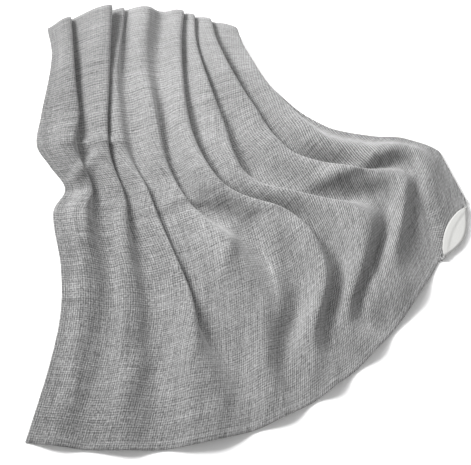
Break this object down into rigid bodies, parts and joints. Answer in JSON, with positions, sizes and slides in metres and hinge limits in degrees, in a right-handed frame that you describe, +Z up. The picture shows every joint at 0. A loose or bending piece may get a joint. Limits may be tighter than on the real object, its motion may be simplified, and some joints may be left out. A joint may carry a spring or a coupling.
{
  "type": "throw blanket",
  "caption": "Flannel fleece throw blanket with a narrow turned hem, laid out in soft uneven folds that fan from its gathered head to its wide curved hem.",
  "frame": {"origin": "middle of the bounding box in plan, on the surface the blanket lies on", "axes": "+Z up from the surface, +Y towards the gathered head, +X to the right as seen from the hem"},
  "size_m": [1.1638, 1.2282, 0.0749],
  "materials": {
    "fleece": "soft brushed flannel fleece, printed with a grey linen-look weave, pale on the reverse"
  },
  "bodies": {
    "root": {"blanket": "fleece"}
  },
  "joints": []
}
